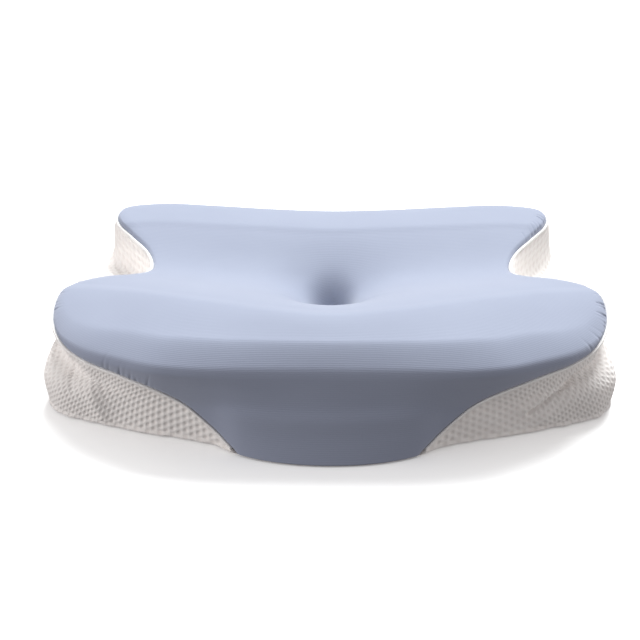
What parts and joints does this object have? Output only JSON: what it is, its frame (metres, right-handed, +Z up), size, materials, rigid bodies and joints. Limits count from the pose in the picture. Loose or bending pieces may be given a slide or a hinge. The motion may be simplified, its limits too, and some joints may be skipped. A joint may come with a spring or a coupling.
{
  "type": "cervical pillow",
  "caption": "Contoured neck pillow with winged top, high front roll, low back roll, round head hollow, side notches and lower arm lobes.",
  "frame": {"origin": "middle of the flat base, on the surface that the pillow rests on", "axes": "+X to the right along the pillow's width, +Y from the high front roll to the low back roll, +Z up"},
  "size_m": [0.595, 0.3788, 0.1244],
  "materials": {
    "side_knit": "off-white stretch knit with small staggered dimples",
    "top_jersey": "smooth blue-grey stretch jersey with fine crosswise courses",
    "binding_tape": "bright white ribbed binding"
  },
  "bodies": {
    "root": {"cushion": "side_knit", "top_panel": "top_jersey", "edge_binding": "binding_tape"}
  },
  "joints": []
}
